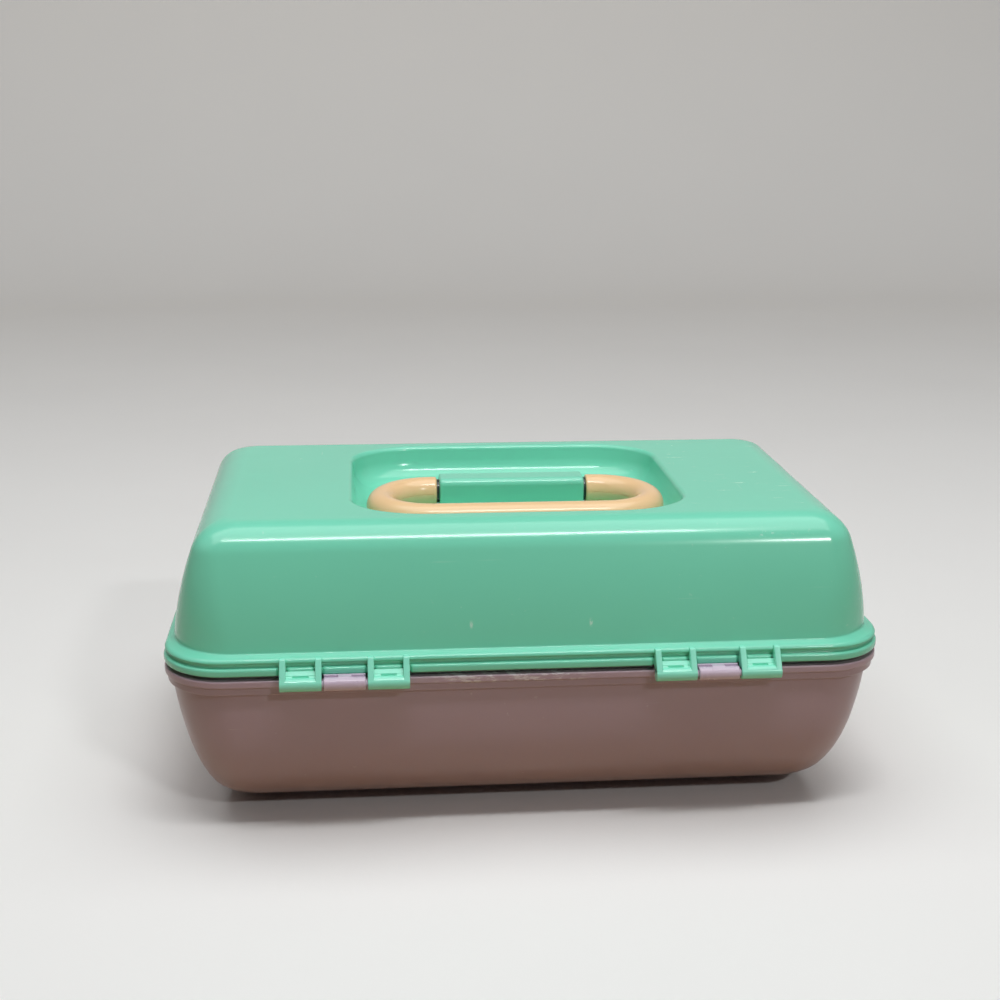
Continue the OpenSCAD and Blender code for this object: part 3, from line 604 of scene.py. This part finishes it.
def shoulder_ring(inset, z):
    """Ring of the upper bead: its corners widen towards the wall's foot and meet the wall's own."""
    share = (inset - shoulder_inset) / (lid_foot_inset - shoulder_inset)
    foot_corner = corner_radius - lid_step
    r = (flange_corner - inset) + (foot_corner - flange_corner + lid_foot_inset) * share
    return plan_ring(flange_half_length - inset, half_depth - inset, r, r, z)


def recess_ring(inset, depth):
    return with_stations(plan_ring(recess_half_x - inset, recess_half_y - inset, recess_corner[0] - inset,
                                   recess_corner[1] - inset, top_z - depth))


wall_depth = recess_depth - recess_fillet * (1 - math.sin(recess_lean))
wall_in = (recess_rim * math.cos(recess_lean)
           + (wall_depth - recess_rim * (1 - math.sin(recess_lean))) * math.tan(recess_lean))


def recess_bend(t):
    """Fillet of the recess from its wall to its floor, t outside the face."""
    return [(wall_in + recess_fillet * math.cos(recess_lean) - (recess_fillet + t) * math.cos(a),
             wall_depth - recess_fillet * math.sin(recess_lean) + (recess_fillet + t) * math.sin(a))
            for a in np.linspace(recess_lean, math.pi / 2, 16)]


def lid_marks(paint):
    """Rubbed whitish marks: two nicks on the hinge side and light scuffs on one end of the top."""
    where = paint.place()
    x, z = where.part("X"), where.part("Z")
    back = where.part("Y").between(0.080, 0.085)
    nicks = 0
    for mark_x, mark_z, long in nick_places:
        fleck = paint.noise(paint.place((900, 900, 500)), 1.0, 3.0, 0.7).between(0.38, 0.5)
        nicks = nicks + x.near(mark_x, nick_width) * z.near(mark_z, long) * back * fleck
    scuffed = paint.noise(paint.place((60, 240, 240), (0, 0, 0.7)), 1.0, 4.0, 0.7).between(0.62, 0.72)
    on_top = z.between(0.1405, 0.1418) * (1 - x.between(-0.075, -0.055)) * 0.35
    edge_scuff = paint.noise(paint.place((700, 500, 500)), 1.0, 3.0, 0.7).between(0.60, 0.68)
    on_edge = z.between(0.1330, 0.1360) * (1 - x.between(-0.104, -0.096)) * x.between(-0.132, -0.124) * back
    return (nicks * 0.9 + scuffed * on_top + edge_scuff * on_edge * 0.7).least(1.0)


mint_colour = (0.195, 0.735, 0.525)
mint = moulded("mint_plastic", mint_colour, 0.17, (0.4, 0.1, 0.9), wear=0.8, coat=0.12, marks=lid_marks)

# The sections of the flange, from the skirt inside up to the foot of the wall.
lid = bmesh.new()
skirt = [(lid_step + wall, cove_z), (seat_inset, seat_z), (skirt_inset, seat_z), (skirt_inset, flange_z)]
low_bead = turn_up((bead_out, flange_z), (0, flange_z + 1.0))
low_bead += turn_in((0, groove_z - 1.9), (1.3, groove_z - 0.6))
groove = turn_up((1.7, groove_z - 0.5), (2.1, groove_z))
groove += turn_up((2.0, high_bead_z - 1.0), (shoulder_inset, high_bead_z - 0.1))
high_bead = turn_in((shoulder_inset, high_bead_z - 0.4), (2.8, high_bead_z + 1.4))
high_bead += [(3.6, high_bead_z + 1.75)]
high_bead += turn_up((4.1, high_bead_z + 2.05), (lid_foot_inset, lid_foot_z))
rim_turn = [(recess_rim * math.sin(a), recess_rim * (1 - math.cos(a)))
            for a in np.linspace(0, math.pi / 2 - recess_lean, 9)]
under = (wall_in - wall / math.cos(recess_lean) - (wall_depth - wall) * math.tan(recess_lean), wall)
add_skin(lid, [recess_ring(*point) for point in recess_bend(wall)[::-1]] + [recess_ring(*under)]
         + lid_wall(wall)[::-1]
         + [with_stations(flange_ring(*point)) for point in skirt]
         + [with_stations(flange_ring(*point), True) for point in low_bead]
         + [with_stations(flange_ring(*point)) for point in groove]
         + [with_stations(shoulder_ring(*point)) for point in high_bead]
         + lid_wall(0)
         + [recess_ring(*point) for point in rim_turn] + [recess_ring(*point) for point in recess_bend(0)])
shown("lid", lid, mint, "lid", "mint_plastic", "lid_shell")

# ---------------------------------------------------------------------------
# Hinge lugs: moulded with the lid, one at each side of a knuckle. Two rails come
# down from the upper bead to a barrel whose blind bore takes the knuckle's peg, and
# a slotted shelf closes the foot of the window between the rails.
# ---------------------------------------------------------------------------
shelf_turn = math.radians(22)
shelf_point = (hinge_y - barrel_radius * math.sin(shelf_turn), hinge_z + barrel_radius * math.cos(shelf_turn))
shelf_heel = (hinge_y, hinge_z + 0.5)
slot_half = 3.5
bracket_root = 102.3
bracket_foot = flange_z + 0.8
rail_top = 88.6
bore_radius = peg_radius + 0.06

lugs = bmesh.new()
for middle in lug_middles:
    outer = 1 if abs(middle) > hinge_x else -1
    away = math.copysign(1.0, middle) * outer
    far, near = middle + away * lug_half, middle - away * lug_half
    bore_end = near + away * (peg_length + 0.3)
    add_turned(lugs, [(far, barrel_radius - 0.4), (far - away * 0.12, barrel_radius - 0.12),
                      (far - away * 0.4, barrel_radius), (near + away * 0.4, barrel_radius),
                      (near + away * 0.12, barrel_radius - 0.12), (near, barrel_radius - 0.4),
                      (near, bore_radius), (bore_end, bore_radius)], hinge_y, hinge_z, 64)
    for rail in (-1, 1):
        start = middle + rail * (lug_half - rail_width / 2) - rail_width / 2
        add_bar(lugs, [(bracket_root, rail_top), (half_depth + 0.3, rail_top),
                       (half_depth + 0.8, rail_top - 0.5),
                       (hinge_y + barrel_radius * 0.83, hinge_z + barrel_radius * 0.56),
                       (hinge_y, hinge_z + 0.1), (hinge_y - 2.6, hinge_z + 1.03),
                       (bracket_root, bracket_foot)],
                start, start + rail_width, 0.45, 3)
    shelf = [(bracket_root, flange_z + 2.4), (half_depth, flange_z + 2.4), shelf_point,
             shelf_heel, (hinge_y - 2.7, hinge_z + 1.05), (bracket_root, bracket_foot)]
    behind = shelf_point[0] - 0.8
    back_shelf = [shelf[0], shelf[1], (behind, shelf_point[1] + 0.75), (behind, hinge_z + 1.1), shelf[-1]]
    front_shelf = [shelf_point, shelf_heel, (hinge_y - 2.2, hinge_z + 1.0),
                   (shelf_point[0] - 0.05, hinge_z + 2.0)]
    low, high = middle - lug_half + rail_width - 0.3, middle + lug_half - rail_width + 0.3
    add_bar(lugs, back_shelf, low, high, 0.12)
    add_bar(lugs, front_shelf, low, high, 0)
    for side in (-1, 1):
        add_bar(lugs, shelf, *sorted((middle + side * slot_half, middle + side * (high - middle))), 0.1)
# Painted light: the lugs are the lid's own plastic, given a lighter copy of its mint so that they read as
# brightly lit.
lug_lit_mint_colour = (0.27, 0.84, 0.64)
lug_lit_mint = moulded("lug_lit_mint_plastic", lug_lit_mint_colour, 0.20, (0.3, 0.8, 0.5),
                       wear=0.7, coat=0.25)
shown("lid_lugs", lugs, lug_lit_mint, "lid", "mint_plastic")

# ---------------------------------------------------------------------------
# Latch ears and tray bosses, moulded with the lid: the ears carry the latch's pin
# at the front, and a boss inside each end wall carries an ear of the tray.
# ---------------------------------------------------------------------------
latch_y = -hinge_y
ear_ends = (29.5, 33.5)
lid_boss = (145.4, 158.2)
lift_arm = 46.0
lift_angle = math.radians(15)

ears = bmesh.new()
for side in (-1, 1):
    ends = sorted(side * x for x in ear_ends)
    add_bar(ears, [(-bracket_root, bracket_foot), (latch_y + 2.6, latch_pivot_z - 1.5),
                   (latch_y + 2.6, latch_pivot_z), (latch_y, latch_pivot_z + 2.6),
                   (latch_y, latch_pivot_z + 3), (-bracket_root, latch_pivot_z + 3)], *ends, 0.4)
    add_rod(ears, *ends, latch_y, latch_pivot_z, barrel_radius, 0.4)
lift = (hinge_y - lift_arm * math.cos(lift_angle), hinge_z + lift_arm * math.sin(lift_angle))
for side in (-1, 1):
    add_rod(ears, *sorted(side * x for x in lid_boss), *lift, boss_radius, 0.4)
shown("lid_ears", ears, mint, "lid", "mint_plastic")

# ---------------------------------------------------------------------------
# Handle: a loop of round tube in peach plastic that lies in the recess. Its two
# ends stop short of the bridge, and a fine parting line of the two-part mould
# runs round the middle of the tube.
# ---------------------------------------------------------------------------
tube_radius = 7.0
loop_radius = 24.5
handle_straight = 40.5
tube_end = 37.2
pivot_z = 135.0
recess_z = top_z - recess_depth
end_round = 0.9
parting_dip = 0.2

peach_colour = (0.95, 0.64, 0.345)
peach = moulded("peach_plastic", peach_colour, 0.21, (0.5, 0.3, 0.2), wear=0.6, coat=0.2)


def tube_section():
    """Points of the tube round its middle: the angle from straight out, and the radius there."""
    angles = list(np.linspace(-87, 87, 30)) + [89.0, 90.0, 91.0]
    angles += list(np.linspace(93, 267, 30)) + [269.0, 270.0, 271.0]
    return [(math.radians(a - 90), tube_radius - parting_dip if abs(math.cos(math.radians(a))) < 0.01
             else tube_radius) for a in angles]


def tube_path():
    """Middle line of the tube from its left end round to its right end, with its sideways direction."""
    path = [((x, 0.0), (0.0, -1.0)) for x in np.linspace(-tube_end, -handle_straight, 3)]
    path += [((-handle_straight - loop_radius * math.sin(a), loop_radius * (1 - math.cos(a))),
              (-math.sin(a), -math.cos(a))) for a in np.radians(np.arange(5, 180, 5))]
    path += [((x, 2 * loop_radius), (0.0, 1.0)) for x in np.linspace(-handle_straight, handle_straight, 25)]
    path += [((handle_straight + loop_radius * math.sin(a), loop_radius * (1 + math.cos(a))),
              (math.sin(a), math.cos(a))) for a in np.radians(np.arange(5, 180, 5))]
    path += [((x, 0.0), (0.0, -1.0)) for x in np.linspace(handle_straight, tube_end, 3)]
    return path


def tube_ring(middle, outward, shrink):
    ring = []
    for angle, radius in tube_section():
        out = (radius - shrink) * math.cos(angle)
        ring.append((middle[0] + outward[0] * out, middle[1] + outward[1] * out,
                     pivot_z + (radius - shrink) * math.sin(angle)))
    return ring


def rounded_end(side):
    """Rings of one end of the tube, from its flat face to the full tube."""
    return [tube_ring((side * (tube_end + along), 0.0), (0.0, -1.0), inward)
            for along, inward in rounded_edge(end_round)]


handle = bmesh.new()
rings = [tube_ring(middle, outward, 0.0) for middle, outward in tube_path()]
add_skin(handle, rounded_end(-1) + rings[1:-1] + rounded_end(1)[::-1])
shown("handle", handle, peach, "handle", "peach_plastic", "handle_grip")

# ---------------------------------------------------------------------------
# Bridge: a round-shouldered bar in mint plastic that stands on the recess floor and
# holds the steel rod the handle turns on. A neck at each end keeps the tube's end
# off it, and two screws from below hold it down.
# ---------------------------------------------------------------------------
bridge_half = 35.9
bridge_radius = 7.4
neck_radius = 5.8
neck_end = 37.1
front_shoulder = 3.4
back_shoulder = 2.0
bridge_top = pivot_z + bridge_radius - 0.1

bridge = bmesh.new()
bridge_section = [(bridge_radius, recess_z + 0.01)]
for middle, radius, start in ((bridge_radius - front_shoulder, front_shoulder, 0),
                              (back_shoulder - bridge_radius, back_shoulder, 90)):
    bridge_section += [(middle + radius * math.cos(a), bridge_top - radius + radius * math.sin(a))
                       for a in np.radians(np.linspace(start, start + 90, 9))]
bridge_section += [(-bridge_radius, recess_z + 0.01)]
add_bar(bridge, bridge_section, -bridge_half, bridge_half, 1.3, 4)
for side in (-1, 1):
    add_rod(bridge, *sorted((side * (bridge_half - 2), side * neck_end)), 0, pivot_z, neck_radius, 0.1)


def bridge_painted_shade(paint):
    """Painted shade: near black in the gap at each end, and a painted dark line along the back of the flat
    top.
    """
    where = paint.place()
    x, y, z = (where.part(axis) for axis in "XYZ")
    far = x.most(0 - x)
    gap_shade = far.between((bridge_half - 0.05) * mm, (bridge_half + 0.05) * mm)
    back_shadow_line = y.near((1.1 - bridge_radius) * mm, 0.35 * mm)
    on_top = z.between((bridge_top - 1.2) * mm, bridge_top * mm) * (1 - far.between(0.0345, 0.0352))
    return gap_shade.most(back_shadow_line * on_top * 0.6)


# The bridge's own copy of the mint carries painted shade: its end gaps and the back line of its top are
# painted near black.
bridge_mint = moulded("bridge_mint_plastic", mint_colour, 0.20, (0.4, 0.1, 0.9), wear=0.6, coat=0.12,
                      painted_shade=bridge_painted_shade)
shown("handle_bridge_bar", bridge, bridge_mint, "lid", "mint_plastic", "handle_bridge")


def softened(name, node, edge_round, material, body, slot, steps=2):
    """Copies a node's form, takes its fine edges off, and stands in for it."""
    form = bmesh.new()
    form.from_mesh(bpy.data.objects[node].data)
    bmesh.ops.remove_doubles(form, verts=form.verts, dist=0.000001)
    bmesh.ops.dissolve_limit(form, angle_limit=math.radians(0.5), verts=form.verts, edges=form.edges)
    corners = [e for e in form.edges if len(e.link_faces) == 2 and e.calc_face_angle(0) > math.radians(40)]
    bmesh.ops.bevel(form, geom=corners, offset=edge_round * mm, segments=steps, profile=0.5,
                    affect="EDGES", clamp_overlap=True)
    shown(name, form, material, body, slot, node)


def turned_steel():
    """Bright drawn steel: fine rings along the length and a faint haze of handling."""
    paint = Paint("steel")
    rings = paint.noise(paint.place((2400, 90, 90)), 1.0, 2.0)
    haze = paint.noise(paint.place(), 130.0, 4.0, 0.6).between(0.45, 0.7)
    return paint.surface(Base_Color=paint.mix(haze, (0.62, 0.62, 0.63), (0.52, 0.515, 0.51)), Metallic=1.0,
                         Roughness=rings * 0.12 + haze * 0.12 + 0.16,
                         Normal=paint.bump(rings, 0.00003, 0.5))


steel = turned_steel()
softened("handle_pivot_rod", "handle_rod", 0.3, steel, "lid", "steel")
softened("bridge_screw_pair", "bridge_screws", 0.3, steel, "lid", "steel")

# ---------------------------------------------------------------------------
# Latch: a peach flap on a steel pin at the front of the lid. Its hook snaps under
# the tub's catch ledge, and its lower edge is the lip a thumb pulls.
# ---------------------------------------------------------------------------
softened("front_latch", "latch", 0.45, peach, "latch", "peach_plastic", steps=3)
softened("latch_hinge_pin", "latch_pin", 0.3, steel, "lid", "steel")

# ---------------------------------------------------------------------------
# Tray: an open box in cream plastic that swings up with the lid, with a loose wall
# between its two rows and two loose dividers in grooves of the front row.
# ---------------------------------------------------------------------------
cream_colour = (0.80, 0.765, 0.69)
cream = moulded("cream_plastic", cream_colour, 0.32, (0.2, 0.5, 0.1), wear=0.7)
softened("sorting_tray", "tray", 0.4, cream, "tray", "cream_plastic")
for name, node in (("tray_row_partition", "tray_row_wall"), ("left_tray_partition", "tray_divider_left"),
                   ("right_tray_partition", "tray_divider_right")):
    softened(name, node, 0.35, cream, "tray", "cream_plastic")

# ---------------------------------------------------------------------------
# Tray arms and their pins: flat lavender links in acetal between the tub and the
# tray, on headed steel pins that are pressed into the tub, the lid and the tray.
# ---------------------------------------------------------------------------
for side in ("left", "right"):
    softened(side + "_link", "tray_arm_" + side, 0.45, lavender, "arms", "lavender_plastic")
    for pin, body in (("lid", "lid"), ("base", "base"), ("arm", "tray")):
        softened(side + "_" + pin + "_pivot", pin + "_pin_" + side, 0.25, steel, body, "steel")

# ---------------------------------------------------------------------------
# Mirror: silvered glass with ground edges in a cream frame under the recess floor.
# It faces the user when the lid is open.
# ---------------------------------------------------------------------------
def silvered_glass():
    """Mirror glass: bright silver with a breath of haze and a few faint wipe marks."""
    paint = Paint("mirror")
    haze = paint.noise(paint.place(), 38.0, 4.0, 0.6).between(0.48, 0.78)
    wipes = paint.noise(paint.place((14, 190, 60), (0, 0, 0.6)), 1.0, 3.0).between(0.55, 0.75)
    return paint.surface(Base_Color=paint.mix(haze, (0.80, 0.83, 0.83), (0.74, 0.775, 0.775)), Metallic=1.0,
                         Roughness=haze * 0.03 + wipes * 0.04 + 0.02)


softened("mirror_surround", "mirror_frame", 0.6, cream, "lid", "cream_plastic", steps=3)
softened("mirror_plate", "mirror_glass", 0.45, silvered_glass(), "lid", "mirror")
